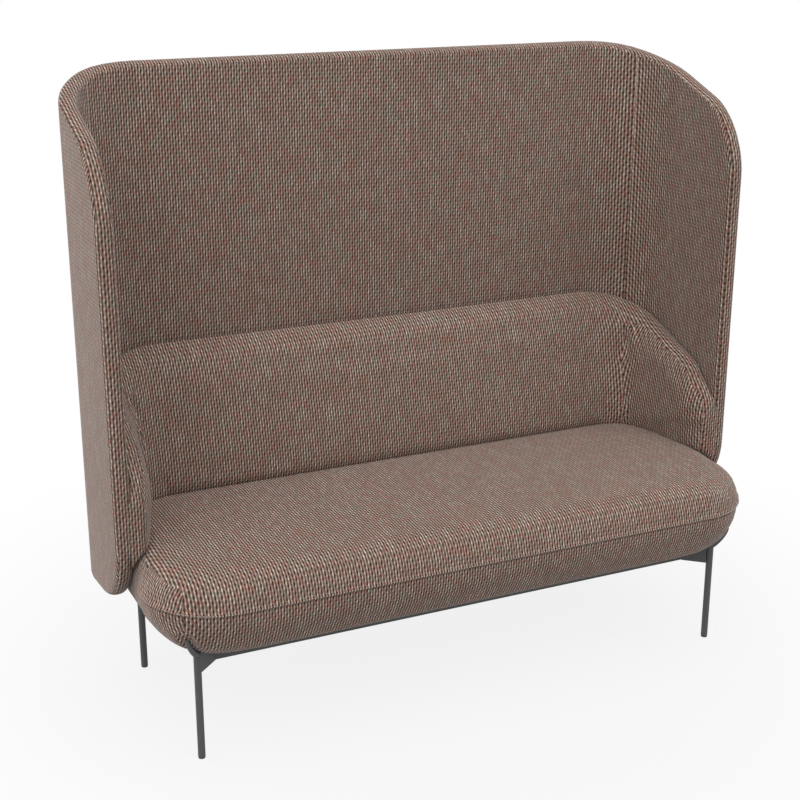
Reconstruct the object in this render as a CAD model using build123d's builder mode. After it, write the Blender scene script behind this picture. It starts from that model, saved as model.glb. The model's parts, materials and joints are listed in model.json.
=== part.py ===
"""High-backed two-seater sofa.

A tall upholstered shell, one back and two wings, stands round a thick seat slab. A lower padded
band lines the shell as backrest and arms, and a slim steel underframe with four round legs
carries the whole. Millimetres, +Z up, X along the width, the front towards -Y. The origin is on
the floor, under the middle of the sofa's overall width and depth.
"""
import os
from math import asin, cos, degrees, hypot, radians, sin, sqrt, tan

from build123d import *

os.makedirs("parts", exist_ok=True)

# Shell: the tall back with its two wings
overall_depth = 653.0         # shell's back to the seat's front
shell_width = 1540.0
wing_depth = 437.0            # shell's back to the wings' front edge
shell_top = 1402.0
shell_bottom = 280.0
shell_thickness = 38.0
shell_corner_radius = 206.0   # outer face, seen from above
wing_slope = 20.7             # fall of the wing's top edge towards the front, degrees
slope_setback = 9.0           # the sloping line meets the top level this far inside the back
slope_radius = 300.0
wing_top_radius = 185.0
wing_bottom_radius = 165.0

# Layers of the shell and of every padded piece
cover_thickness = 2.0
soft_gap = 0.3                # between soft pieces that lie on each other
seam_gap = 0.4                # between neighbouring panels of cover or foam
edge_flat = 6.0               # what the rounded edge leaves flat on the shell's rim
core_thickness = 12.0
core_rim = 17.0               # foam round the edge of the core panels
panel_tongue = 60.0           # flat run of a wing panel before it meets the back panel

# Joint plates between the core panels
plate_width = 80.0
plate_height = 50.0
plate_thickness = 3.0
plate_end_inset = 160.0       # lowest and highest plate inside the shell's ends
plate_screw_spread = (50.0, 26.0)
plate_screw_diameter = 4.0
plate_screw_length = 12.0
plate_screw_head = 8.0
plate_screw_head_height = 1.6

# Lower padded band: backrest pad and arm pads
pad_rise = 342.0              # top of the backrest over the seat's shoulder
pad_setback = 8.0             # its front edge behind the wings' front edge
pad_dip = 30.0                # the band reaches this far below the seat's shoulder
pad_seat_gap = 0.8            # pads over the seat's rounded edge
back_pad_foot = 122.0         # thickness of the backrest pad at its foot
back_pad_head = 74.0          # and at its top
arm_pad_foot = 96.0           # thickness of an arm pad at the corner, at its foot
arm_pad_head = 66.0
arm_pad_foot_front = 37.0     # and at its front edge
arm_pad_head_front = 36.0
pad_corner_foot = 92.0        # inner corner radius, seen from above
pad_corner_head = 118.0
pad_edge_radius = 26.0

# Seat slab
seat_side_gap = 1.0           # to the wings
seat_back_gap = 3.0           # to the shell's back
seat_corner_radius = 165.0
seat_bottom = 231.0
seat_height = 201.0           # bottom to the shoulder
seat_crown = 9.0              # rise of the middle over the shoulders
seat_upper_radius = 62.0
seat_lower_radius = 122.0
seam_rise = 129.0             # sewn seam between top cover and lower cover, over the seat's bottom
cover_hem = 12.0              # lower cover turned in under the seat frame
frame_margin = 14.0           # seat frame inside the slab's flat underside

# Seat frame inside the slab
batten_width = 60.0
batten_thickness = 25.0
strap_width = 60.0
strap_thickness = 2.0
strap_count = 9
strap_margin = 9.0            # last strap to the end batten
dust_cover_thickness = 1.0

# Underframe
rail_end_inset = 136.4        # middle of the end rails, inside the seat's ends
rail_side_inset = 134.5       # middle of the long rails, inside the seat's front and back
rail_height = 32.0
rail_thickness = 8.0
weld_gap = 0.2
leg_end_inset = 83.6          # middle of a leg, inside the seat's ends
leg_side_inset = 86.8         # and inside its front and back
leg_diameter = 16.0
claw_tip_width = 10.5         # the claw flattens from the round leg to a thin blade
claw_tip_thickness = 4.5
claw_end_share = 0.7          # its last section, against the one before
claw_tip_angle = 62.0         # along the seat's lower rounding, from straight down
claw_sections = 6
arm_steps = 6                 # straight runs of the corner arm's top edge, which follows the seat
glide_diameter = 15.0
glide_height = 4.0
glide_stem_diameter = 9.6
glide_stem_length = 16.0
glide_bore_play = 0.4

# Fixings between underframe and seat
tab_length = 40.0
tab_width = 34.0
tab_thickness = 4.0
tab_end_inset = 194.6         # outer tabs, inside the end rails
tab_middle_offset = 130.0     # inner tabs, from the centre rail
tab_screw_diameter = 5.0
tab_screw_length = 26.0
tab_screw_head = 10.0
tab_screw_head_height = 3.0
hole_play = 0.4

# Brackets between seat frame and shell
bracket_width = 40.0
bracket_thickness = 5.0
bracket_foot_rise = 7.0       # over the seat's bottom
bracket_shelf_rise = 101.0
bracket_head_rise = 167.0
bracket_inset = 11.0          # flange to the seat's widest line
bracket_end_inset = 144.0     # outer rear brackets, inside the panel joints
bolt_diameter = 8.0
bolt_head = 14.0
bolt_head_height = 5.0
bolt_drop = 16.0              # under the bracket's head
bolt_bite = 9.0               # thread inside the core panel

overreach = 60.0              # helper solids reach past the sofa by this much

# Values worked out from the sizes above
shell_half = shell_width / 2
shell_back = overall_depth / 2
seat_front = overall_depth / 2
wing_front = wing_depth - shell_back
corner_x = shell_half - shell_corner_radius
corner_y = shell_back - shell_corner_radius
shell_inner_half = shell_half - shell_thickness
shell_inner_back = shell_back - shell_thickness
shell_mid = shell_thickness / 2
foam_inset = cover_thickness + soft_gap
panel_joint = corner_x - panel_tongue
core_inner_inset = shell_mid + core_thickness / 2
core_outer_face = shell_back - shell_mid + core_thickness / 2
seat_half = shell_inner_half - seat_side_gap
seat_back = shell_inner_back - seat_back_gap
seat_depth = seat_front + seat_back
seat_middle = (seat_back - seat_front) / 2
seat_shoulder = seat_bottom + seat_height
seam_height = seat_bottom + seam_rise
pad_bottom = seat_shoulder - pad_dip
crown_radius = (seat_depth**2 / 4 + seat_crown**2) / (2 * seat_crown)
frame_half_x = seat_half - seat_lower_radius - frame_margin
frame_half_y = seat_depth / 2 - seat_lower_radius - frame_margin
batten_bottom = seat_bottom + foam_inset
batten_top = batten_bottom + batten_thickness
strap_bottom = batten_top + soft_gap
strap_top = strap_bottom + strap_thickness
strap_reach = 2 * (frame_half_x - batten_width - strap_margin) - strap_width
strap_pitch = strap_reach / (strap_count - 1)
rail_x = seat_half - rail_end_inset
rail_y = seat_depth / 2 - rail_side_inset
leg_x = seat_half - leg_end_inset
leg_y = seat_depth / 2 - leg_side_inset
rail_top = seat_bottom - soft_gap
rail_bottom = rail_top - rail_height
bracket_foot = seat_bottom + bracket_foot_rise
bracket_shelf = seat_bottom + bracket_shelf_rise
bracket_head = seat_bottom + bracket_head_rise
bracket_outer = panel_joint - bracket_end_inset
bracket_rear_positions = (-bracket_outer, 0, bracket_outer)
bracket_side_position = (corner_y - wing_front) / 2
bolt_height = bracket_head - bolt_drop
plate_low = shell_bottom + plate_end_inset
plate_high = shell_top - plate_end_inset
plate_levels = (plate_low, (plate_low + plate_high) / 2, plate_high)
prism_bottom = shell_bottom - overreach
prism_height = shell_top - shell_bottom + 2 * overreach
prism_front = -(max(wing_front, seat_front) + overreach)
crown_span = seat_depth / 2 + overreach
crown_ends = seat_shoulder + seat_crown - crown_radius + sqrt(crown_radius**2 - crown_span**2)


def save(piece, name):
    """Label a finished piece and write it to its own file."""
    piece.part.label = name
    export_step(piece.part, f"parts/{name}.step")


def save_with_mirror(piece, name):
    """Save a piece; a right-hand one is saved mirrored as the left-hand one too."""
    save(piece, name)
    if "right" in name:
        with BuildPart() as mirrored:
            mirror(piece.part, about=Plane.YZ)
        save(mirrored, name.replace("right", "left"))


def bay_outline(level, half_width, back, radius):
    """The space between the wings, seen from above: open to the front, round at the back."""
    with BuildSketch(Plane.XY.offset(level)) as outline:
        with BuildLine():
            FilletPolyline(
                (-half_width, prism_front),
                (-half_width, back),
                (half_width, back),
                (half_width, prism_front),
                radius=radius,
            )
            Line((half_width, prism_front), (-half_width, prism_front))
        make_face()
    return outline.sketch


def side_outline(inset, front, bottom, top, lower_radius):
    """The wing or arm seen from the side, drawn in by inset all round except at the back."""
    fall = tan(radians(wing_slope))
    slope_inset = inset / cos(radians(wing_slope))
    slope_start = shell_back - slope_setback
    far_back = shell_back + overreach
    front_line = -front + inset
    top_line = top - inset
    shoulder = top - slope_inset - (slope_start - front_line) * fall
    knee = slope_start - (inset - slope_inset) / fall
    with BuildSketch(Plane.YZ) as outline:
        with BuildLine():
            FilletPolyline(
                (far_back, bottom + inset),
                (front_line, bottom + inset),
                (front_line, shoulder),
                (knee, top_line),
                (far_back, top_line),
                radius=[max(lower_radius - inset, 0), wing_top_radius - inset, slope_radius - inset],
            )
            Line((far_back, top_line), (far_back, bottom + inset))
        make_face()
    return outline.sketch


def is_rim(edge, front_line):
    """True for an edge along the rim, false for the smooth joints between neighbouring faces."""
    heading = edge.tangent_at(0.5)
    straight = edge.geom_type == GeomType.LINE
    wall_joint = abs(heading.Z) > 0.9 and (edge @ 0.5).Y > front_line + 1
    rim_joint = straight and abs(heading.X) > 0.99 and edge.length < corner_x
    return not wall_joint and not rim_joint


def shell_form(inset):
    """The whole shell drawn in by inset on every side, with its edges rounded."""
    outer = bay_outline(prism_bottom, shell_half - inset, shell_back - inset, shell_corner_radius - inset)
    inner = bay_outline(
        prism_bottom,
        shell_inner_half + inset,
        shell_inner_back + inset,
        shell_corner_radius - shell_thickness + inset,
    )
    front_line = -wing_front + inset
    with BuildPart() as form:
        extrude(outer, amount=prism_height)
        extrude(inner, amount=prism_height, mode=Mode.SUBTRACT)
        extrude(
            side_outline(inset, wing_front, shell_bottom, shell_top, wing_bottom_radius),
            amount=shell_width,
            both=True,
            mode=Mode.INTERSECT,
        )
        rim = form.edges().filter_by(lambda edge: is_rim(edge, front_line))
        fillet(rim, radius=shell_mid - inset - edge_flat / 2)
    return form.part


def shell_core(play):
    """The panels' layer in the middle of the shell, grown by play."""
    outer_inset = shell_mid - core_thickness / 2 - play
    inner_inset = core_inner_inset + play
    outer = bay_outline(
        prism_bottom, shell_half - outer_inset, shell_back - outer_inset, shell_corner_radius - outer_inset
    )
    inner = bay_outline(
        prism_bottom, shell_half - inner_inset, shell_back - inner_inset, shell_corner_radius - inner_inset
    )
    with BuildPart() as core:
        extrude(outer, amount=prism_height)
        extrude(inner, amount=prism_height, mode=Mode.SUBTRACT)
        extrude(
            side_outline(core_rim - play, wing_front, shell_bottom, shell_top, wing_bottom_radius),
            amount=shell_width,
            both=True,
            mode=Mode.INTERSECT,
        )
    return core.part


def middle_space(play):
    """All that lies inside the shell's middle surface, grown by play."""
    with BuildPart() as space:
        extrude(
            bay_outline(
                prism_bottom,
                shell_half - shell_mid + play,
                shell_back - shell_mid + play,
                shell_corner_radius - shell_mid + play,
            ),
            amount=prism_height,
        )
    return space.part


def zone(side):
    """The back's or the right wing's share of the sofa, parted at the corners."""
    reach = 2 * shell_corner_radius
    half_seam = seam_gap / 2
    if side == "back":
        corners = [
            (-corner_x, corner_y + half_seam),
            (-corner_x - reach, corner_y + reach + half_seam),
            (corner_x + reach, corner_y + reach + half_seam),
            (corner_x, corner_y + half_seam),
        ]
    else:
        corners = [
            (corner_x, corner_y - half_seam),
            (corner_x + reach, corner_y + reach - half_seam),
            (corner_x + reach, prism_front),
            (corner_x, prism_front),
        ]
    with BuildPart() as share:
        with BuildSketch(Plane.XY):
            with BuildLine():
                Polyline(*corners, close=True)
            make_face()
        extrude(amount=shell_top + overreach)
    return share.part


def seat_form(inset):
    """The seat slab drawn in by inset: rounded corners, soft edges and a crowned top."""
    with BuildPart() as form:
        with BuildSketch(Plane.XY.offset(seat_bottom + inset)):
            with Locations((0, seat_middle)):
                RectangleRounded(
                    2 * (seat_half - inset), seat_depth - 2 * inset, seat_corner_radius - inset
                )
        extrude(amount=seat_height + seat_crown + overreach)
        with BuildSketch(Plane.YZ):
            with BuildLine():
                Polyline(
                    (seat_middle + crown_span, crown_ends - inset),
                    (seat_middle + crown_span, seat_bottom - overreach),
                    (seat_middle - crown_span, seat_bottom - overreach),
                    (seat_middle - crown_span, crown_ends - inset),
                )
                ThreePointArc(
                    (seat_middle - crown_span, crown_ends - inset),
                    (seat_middle, seat_shoulder + seat_crown - inset),
                    (seat_middle + crown_span, crown_ends - inset),
                )
            make_face()
        extrude(amount=shell_width, both=True, mode=Mode.INTERSECT)
        fillet(form.faces().sort_by(Axis.Z)[0].edges(), radius=seat_lower_radius - inset)
        fillet(form.faces().sort_by(Axis.Z)[-1].edges(), radius=seat_upper_radius - inset)
    return form.part


def niche_outline(level, inset, back_pad, arm_pad, arm_pad_front, corner):
    """The sitting space inside the padded band, seen from above at one level."""
    back = shell_inner_back - back_pad + inset
    arm = shell_inner_half - arm_pad + inset
    front = -wing_front + pad_setback
    arm_front = shell_inner_half - arm_pad_front + inset
    spread = (arm_front - arm) / (back - front)
    mouth = arm_front + spread * (front - prism_front)
    with BuildSketch(Plane.XY.offset(level)) as outline:
        with BuildLine():
            FilletPolyline(
                (-mouth, prism_front), (-arm, back), (arm, back), (mouth, prism_front), radius=corner + inset
            )
            Line((mouth, prism_front), (-mouth, prism_front))
        make_face()
    return outline.sketch


def pad_form(inset, wall_gap):
    """The padded band drawn in by inset: leaning inner faces and a rounded upper edge."""
    outset = wall_gap + inset
    front = wing_front - pad_setback
    top = seat_shoulder + pad_rise
    front_line = -front + inset
    wall = bay_outline(
        pad_bottom,
        shell_inner_half - outset,
        shell_inner_back - outset,
        shell_corner_radius - shell_thickness - outset,
    )
    foot = niche_outline(
        pad_bottom, inset, back_pad_foot, arm_pad_foot, arm_pad_foot_front, pad_corner_foot
    )
    head = niche_outline(top, inset, back_pad_head, arm_pad_head, arm_pad_head_front, pad_corner_head)
    with BuildPart() as form:
        extrude(wall, amount=top - pad_bottom)
        loft([foot, head], ruled=True, mode=Mode.SUBTRACT)
        extrude(
            side_outline(inset, front, pad_bottom, top, 0),
            amount=shell_width,
            both=True,
            mode=Mode.INTERSECT,
        )
        inner_rim = form.edges().filter_by(
            lambda edge: is_rim(edge, front_line)
            and (edge @ 0.5).Z > pad_bottom + inset + 1
            and wall_distance(edge @ 0.5) > outset + 1
        )
        fillet(inner_rim, radius=pad_edge_radius - inset)
        add(seat_room, mode=Mode.SUBTRACT)
    return form.part


def wall_distance(point):
    """How far a point stands inside the shell's inner face, seen from above."""
    over_x = abs(point.X) - corner_x
    over_y = point.Y - corner_y
    if over_x > 0 and over_y > 0:
        return shell_corner_radius - shell_thickness - hypot(over_x, over_y)
    return min(shell_inner_half - abs(point.X), shell_inner_back - point.Y)


# Planes in which the brackets between seat frame and shell are drawn, one for each bracket
bracket_planes = [
    Plane(origin=(x, 0, 0), x_dir=(0, 1, 0), z_dir=(1, 0, 0)) for x in bracket_rear_positions
]
bracket_planes += [
    Plane(origin=(0, bracket_side_position, 0), x_dir=(hand, 0, 0), z_dir=(0, -hand, 0))
    for hand in (-1, 1)
]
rear_count = len(bracket_rear_positions)


def bracket_reach(index):
    """Batten face, seat's widest line and core face, measured along a bracket's own plane."""
    if index < rear_count:
        return seat_middle + frame_half_y, seat_back, shell_back - core_inner_inset
    return frame_half_x, seat_half, shell_half - core_inner_inset


def bracket_outline(index, play):
    """A cranked strip: foot on the batten, shelf over the foam, flange behind the cover."""
    batten_face, widest, _ = bracket_reach(index)
    near = batten_face + soft_gap
    far = widest - bracket_inset
    with BuildSketch(bracket_planes[index].offset(-bracket_width / 2 - play)) as outline:
        with BuildLine():
            Polyline(
                (near, bracket_foot),
                (near + bracket_thickness, bracket_foot),
                (near + bracket_thickness, bracket_shelf),
                (far, bracket_shelf),
                (far, bracket_head),
                (far - bracket_thickness, bracket_head),
                (far - bracket_thickness, bracket_shelf + bracket_thickness),
                (near, bracket_shelf + bracket_thickness),
                close=True,
            )
        make_face()
        if play:
            offset(amount=play, kind=Kind.INTERSECTION)
    return outline.sketch


def bolts(play):
    """Bracket bolts, grown by play where they are used to cut their holes."""
    with BuildPart() as group:
        for index, plane in enumerate(bracket_planes):
            _, widest, core_face = bracket_reach(index)
            seat_line = widest - bracket_inset - bracket_thickness
            reach = core_face + bolt_bite - seat_line
            start = plane.from_local_coords((seat_line, bolt_height, 0))
            with BuildSketch(Plane(origin=start, z_dir=plane.x_dir)):
                Circle(bolt_diameter / 2 + play)
            extrude(amount=reach + play)
            with BuildSketch(Plane(origin=start, z_dir=-plane.x_dir)):
                Circle(bolt_head / 2 + play)
            extrude(amount=bolt_head_height + play)
    return group


# Underframe rails
for name, side in (("front_rail", -1), ("rear_rail", 1)):
    with BuildPart() as long_rail:
        with BuildSketch(Plane.XY.offset(rail_bottom)):
            with Locations((0, seat_middle + side * rail_y)):
                Rectangle(2 * rail_x, rail_thickness)
        extrude(amount=rail_height)
    save(long_rail, name)

cross_rail_length = 2 * rail_y - rail_thickness - 2 * weld_gap
for name, place in (("left_rail", -rail_x), ("centre_rail", 0), ("right_rail", rail_x)):
    with BuildPart() as cross_rail:
        with BuildSketch(Plane.XY.offset(rail_bottom)):
            with Locations((place, seat_middle)):
                Rectangle(rail_thickness, cross_rail_length)
        extrude(amount=rail_height)
    save(cross_rail, name)

# Legs with their claws, corner arms and glides
corners = {
    "front_left": (-1, -1),
    "front_right": (1, -1),
    "rear_left": (-1, 1),
    "rear_right": (1, 1),
}
leg_radius = leg_diameter / 2
ring_radius = seat_corner_radius - seat_lower_radius
ring_height = seat_bottom + seat_lower_radius
for name, (side_x, side_y) in corners.items():
    centre = Vector(
        side_x * (seat_half - seat_corner_radius),
        seat_middle + side_y * (seat_depth / 2 - seat_corner_radius),
    )
    leg_foot = Vector(side_x * leg_x, seat_middle + side_y * leg_y)
    outward = (leg_foot - centre).normalized()
    sideways = Vector(0, 0, 1).cross(outward)
    leg_ring = (leg_foot - centre).length - ring_radius
    leg_angle = degrees(asin(leg_ring / (seat_lower_radius + soft_gap + leg_radius)))

    claw_planes = []
    for step in range(claw_sections):
        share = step / (claw_sections - 1)
        angle = radians(leg_angle + share * (claw_tip_angle - leg_angle))
        end_share = claw_end_share if step == claw_sections - 1 else 1.0
        half_width = end_share * (leg_radius + share * (claw_tip_width / 2 - leg_radius))
        half_thickness = end_share * (leg_radius + share * (claw_tip_thickness / 2 - leg_radius))
        distance = seat_lower_radius + soft_gap + half_thickness
        middle = centre + outward * (ring_radius + distance * sin(angle))
        middle += Vector(0, 0, ring_height - distance * cos(angle))
        heading = outward * cos(angle) + Vector(0, 0, sin(angle))
        plane = Plane(origin=middle, x_dir=sideways, z_dir=heading)
        claw_planes.append((plane, half_width, half_thickness))
    leg_top = claw_planes[0][0].origin.Z

    with BuildPart() as leg:
        with BuildSketch(Plane.XY.offset(glide_height)):
            with Locations((leg_foot.X, leg_foot.Y)):
                Circle(leg_radius)
        extrude(amount=leg_top - glide_height)
        with Locations(claw_planes[0][0].origin):
            Sphere(leg_radius)
        for plane, half_width, half_thickness in claw_planes:
            with BuildSketch(plane):
                Ellipse(half_width, half_thickness)
        loft()
        with BuildSketch(Plane.XY.offset(glide_height)):
            with Locations((leg_foot.X, leg_foot.Y)):
                Circle((glide_stem_diameter + glide_bore_play) / 2)
        extrude(amount=glide_stem_length + glide_bore_play, mode=Mode.SUBTRACT)
    save(leg, f"{name}_leg")

    rail_corner = Vector(side_x * rail_x, seat_middle + side_y * rail_y)
    run = leg_foot - rail_corner
    arm_start = rail_thickness / 2
    arm_end = run.length - leg_radius - weld_gap
    arm_plane = Plane(origin=rail_corner, x_dir=run, z_dir=run.cross(Vector(0, 0, 1)))
    arm_outline = [(arm_start, rail_bottom), (arm_end, rail_bottom)]
    for step in range(arm_steps, -1, -1):
        reach = arm_start + (arm_end - arm_start) * step / arm_steps
        ring = (rail_corner + run.normalized() * reach - centre).length - ring_radius
        climb = seat_lower_radius - sqrt(seat_lower_radius**2 - max(ring, 0) ** 2)
        arm_outline.append((reach, rail_top + climb))
    with BuildPart() as corner_arm:
        with BuildSketch(arm_plane.offset(-rail_thickness / 2)):
            with BuildLine():
                Polyline(*arm_outline, close=True)
            make_face()
        extrude(amount=rail_thickness)
    save(corner_arm, f"{name}_corner_arm")

    with BuildPart() as glide:
        with BuildSketch():
            with Locations((leg_foot.X, leg_foot.Y)):
                Circle(glide_diameter / 2)
        extrude(amount=glide_height)
        with BuildSketch(Plane.XY.offset(glide_height)):
            with Locations((leg_foot.X, leg_foot.Y)):
                Circle(glide_stem_diameter / 2)
        extrude(amount=glide_stem_length)
    save(glide, f"{name}_glide")

# Tabs welded inside the long rails, and the screws that hold the seat to them
tab_middle = rail_y - rail_thickness / 2 - weld_gap - tab_width / 2
tab_outer = rail_x - tab_end_inset
tab_positions = (-tab_outer, -tab_middle_offset, tab_middle_offset, tab_outer)
tab_places = [(x, seat_middle + side * tab_middle) for x in tab_positions for side in (-1, 1)]
tab_bottom = rail_top - tab_thickness
with BuildPart() as tabs:
    with BuildSketch(Plane.XY.offset(tab_bottom)):
        with Locations(*tab_places):
            Rectangle(tab_length, tab_width)
            Circle((tab_screw_diameter + hole_play) / 2, mode=Mode.SUBTRACT)
    extrude(amount=tab_thickness)
save(tabs, "seat_mounting_tabs")


def tab_screws(play):
    """Screws from below through the tabs into the battens, grown by play for their holes."""
    with BuildPart() as group:
        with BuildSketch(Plane.XY.offset(tab_bottom - tab_screw_head_height)):
            with Locations(*tab_places):
                Circle(tab_screw_head / 2)
        extrude(amount=tab_screw_head_height)
        with BuildSketch(Plane.XY.offset(tab_bottom)):
            with Locations(*tab_places):
                Circle(tab_screw_diameter / 2 + play)
        extrude(amount=tab_screw_length + play)
    return group


save(tab_screws(0), "seat_mounting_screws")
screw_holes = tab_screws(hole_play / 2).part

# Seat frame battens
cross_length = 2 * frame_half_y - 2 * batten_width - 2 * weld_gap
long_offset = frame_half_y - batten_width / 2
cross_offset = frame_half_x - batten_width / 2
battens = {
    "seat_front_batten": (0, -long_offset, 2 * frame_half_x, batten_width),
    "seat_rear_batten": (0, long_offset, 2 * frame_half_x, batten_width),
    "seat_left_batten": (-cross_offset, 0, batten_width, cross_length),
    "seat_centre_batten": (0, 0, batten_width, cross_length),
    "seat_right_batten": (cross_offset, 0, batten_width, cross_length),
}
for name, (x, y, length, width) in battens.items():
    with BuildPart() as batten:
        with BuildSketch(Plane.XY.offset(batten_bottom)):
            with Locations((x, seat_middle + y)):
                Rectangle(length, width)
        extrude(amount=batten_thickness)
        add(screw_holes, mode=Mode.SUBTRACT)
    save(batten, name)

with BuildPart() as webbing:
    with BuildSketch(Plane.XY.offset(strap_bottom)):
        with Locations((0, seat_middle)):
            with GridLocations(strap_pitch, 0, strap_count, 1):
                Rectangle(strap_width, 2 * frame_half_y)
    extrude(amount=strap_thickness)
save(webbing, "seat_webbing")

# Brackets and bolts that carry the shell on the seat frame
bracket_bolts = bolts(0)
save(bracket_bolts, "shell_bolts")
bolt_holes = bolts(hole_play / 2).part

with BuildPart() as brackets:
    for index in range(len(bracket_planes)):
        extrude(bracket_outline(index, 0), amount=bracket_width)
    add(bolt_holes, mode=Mode.SUBTRACT)
save(brackets, "shell_brackets")

# Seat foam with the pocket for its frame, and the two halves of its cover
with BuildPart() as seat_foam:
    add(seat_form(foam_inset))
    with BuildSketch(Plane.XY.offset(seat_bottom)):
        with Locations((0, seat_middle)):
            Rectangle(2 * (frame_half_x + soft_gap), 2 * (frame_half_y + soft_gap))
    extrude(amount=strap_top + soft_gap - seat_bottom, mode=Mode.SUBTRACT)
    for index in range(len(bracket_planes)):
        extrude(bracket_outline(index, soft_gap), amount=bracket_width + 2 * soft_gap, mode=Mode.SUBTRACT)
    add(bolt_holes, mode=Mode.SUBTRACT)
save(seat_foam, "seat_foam")

with BuildPart() as seat_skin:
    add(seat_form(0))
    add(seat_form(cover_thickness), mode=Mode.SUBTRACT)
    add(bolt_holes, mode=Mode.SUBTRACT)

with BuildPart() as seat_top_cover:
    add(seat_skin.part)
    split(bisect_by=Plane.XY.offset(seam_height + seam_gap / 2), keep=Keep.TOP)
save(seat_top_cover, "seat_top_cover")

opening_x = frame_half_x - cover_hem
opening_y = frame_half_y - cover_hem
with BuildPart() as seat_lower_cover:
    add(seat_skin.part)
    split(bisect_by=Plane.XY.offset(seam_height - seam_gap / 2), keep=Keep.BOTTOM)
    with BuildSketch(Plane.XY.offset(seat_bottom)):
        with Locations((0, seat_middle)):
            Rectangle(2 * opening_x, 2 * opening_y)
    extrude(amount=cover_thickness, mode=Mode.SUBTRACT)
save(seat_lower_cover, "seat_lower_cover")

with BuildPart() as dust_cover:
    with BuildSketch(Plane.XY.offset(seat_bottom + cover_thickness - dust_cover_thickness)):
        with Locations((0, seat_middle)):
            Rectangle(2 * (opening_x - soft_gap), 2 * (opening_y - soft_gap))
    extrude(amount=dust_cover_thickness)
    add(screw_holes, mode=Mode.SUBTRACT)
save(dust_cover, "seat_dust_cover")

# Joint plates and their screws on the outer face of the core panels
plate_places = [(hand * panel_joint, level) for hand in (-1, 1) for level in plate_levels]
plate_face = Plane(origin=(0, core_outer_face, 0), x_dir=(-1, 0, 0), z_dir=(0, 1, 0))
with BuildPart() as plates:
    with BuildSketch(plate_face):
        with Locations(*plate_places):
            Rectangle(plate_width, plate_height)
            with GridLocations(*plate_screw_spread, 2, 2):
                Circle((plate_screw_diameter + hole_play) / 2, mode=Mode.SUBTRACT)
    extrude(amount=plate_thickness)
save(plates, "panel_joint_plates")


def plate_screws(play):
    """Short screws through the joint plates into the panels, grown by play for their holes."""
    with BuildPart() as group:
        with BuildSketch(plate_face.offset(plate_thickness)):
            with Locations(*plate_places):
                with GridLocations(*plate_screw_spread, 2, 2):
                    Circle(plate_screw_diameter / 2 + play)
        extrude(amount=-plate_screw_length - play)
        with BuildSketch(plate_face.offset(plate_thickness)):
            with Locations(*plate_places):
                with GridLocations(*plate_screw_spread, 2, 2):
                    Circle(plate_screw_head / 2)
        extrude(amount=plate_screw_head_height)
    return group


save(plate_screws(0), "panel_joint_screws")
plate_holes = plate_screws(hole_play / 2).part

with BuildPart() as plate_pockets:
    with BuildSketch(plate_face):
        with Locations(*plate_places):
            Rectangle(plate_width + 2 * soft_gap, plate_height + 2 * soft_gap)
    extrude(amount=plate_thickness + plate_screw_head_height + soft_gap)

# Core panels of the shell
core = shell_core(0)
panel_shares = {
    "back_panel": (-panel_joint + seam_gap / 2, panel_joint - seam_gap / 2),
    "right_wing_panel": (panel_joint + seam_gap / 2, shell_half),
}
for name, (low, high) in panel_shares.items():
    with BuildPart() as panel:
        add(core)
        with BuildSketch(Plane.YZ.offset(low)):
            with Locations((0, shell_bottom)):
                Rectangle(2 * shell_width, 2 * shell_top)
        extrude(amount=high - low, mode=Mode.INTERSECT)
        add(plate_holes, mode=Mode.SUBTRACT)
        add(bolt_holes, mode=Mode.SUBTRACT)
    save_with_mirror(panel, name)

# Foam layers and covers of the shell, on its inner and outer side
with BuildPart() as shell_foam:
    add(shell_form(foam_inset))
    add(shell_core(soft_gap), mode=Mode.SUBTRACT)
    add(plate_pockets.part, mode=Mode.SUBTRACT)
    add(bolt_holes, mode=Mode.SUBTRACT)

with BuildPart() as shell_skin:
    add(shell_form(0))
    add(shell_form(cover_thickness), mode=Mode.SUBTRACT)
    add(bolt_holes, mode=Mode.SUBTRACT)

inside = middle_space(-seam_gap / 2)
not_outside = middle_space(seam_gap / 2)
zone_names = {"back": "back", "right": "right_wing"}
for kind, layer in (("foam", shell_foam.part), ("cover", shell_skin.part)):
    for side, share_name in zone_names.items():
        share = zone(side)
        with BuildPart() as inner_layer:
            add(layer)
            add(share, mode=Mode.INTERSECT)
            add(inside, mode=Mode.INTERSECT)
        save_with_mirror(inner_layer, f"inner_{share_name}_{kind}")
        with BuildPart() as outer_layer:
            add(layer)
            add(share, mode=Mode.INTERSECT)
            add(not_outside, mode=Mode.SUBTRACT)
        save_with_mirror(outer_layer, f"outer_{share_name}_{kind}")

# Padded band: foam and cover of the backrest pad and of the two arm pads
seat_room = seat_form(-pad_seat_gap)
pad_body = pad_form(0, soft_gap)
pad_hollow = pad_form(cover_thickness, soft_gap)
pad_foam = pad_form(foam_inset, soft_gap)
pad_names = {"back": "back_pad", "right": "right_arm_pad"}
for side, share_name in pad_names.items():
    share = zone(side)
    with BuildPart() as pad_filling:
        add(pad_foam)
        add(share, mode=Mode.INTERSECT)
    save_with_mirror(pad_filling, f"{share_name}_foam")
    with BuildPart() as pad_cover:
        add(pad_body)
        add(pad_hollow, mode=Mode.SUBTRACT)
        add(share, mode=Mode.INTERSECT)
    save_with_mirror(pad_cover, f"{share_name}_cover")
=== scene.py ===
# %% [markdown]
# # A high-backed sofa, dressed for its photograph
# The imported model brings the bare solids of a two-seater sofa: a tall shell, a padded band, a
# seat slab and a slim steel frame. This lesson sews the covers round them. We start from the
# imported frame, because every piece that follows is placed by its sizes.

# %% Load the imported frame
import json
from math import atan2, cos, pi, radians, sin, sqrt, tan

import bmesh
import bpy
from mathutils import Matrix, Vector
from mathutils.bvhtree import BVHTree


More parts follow.
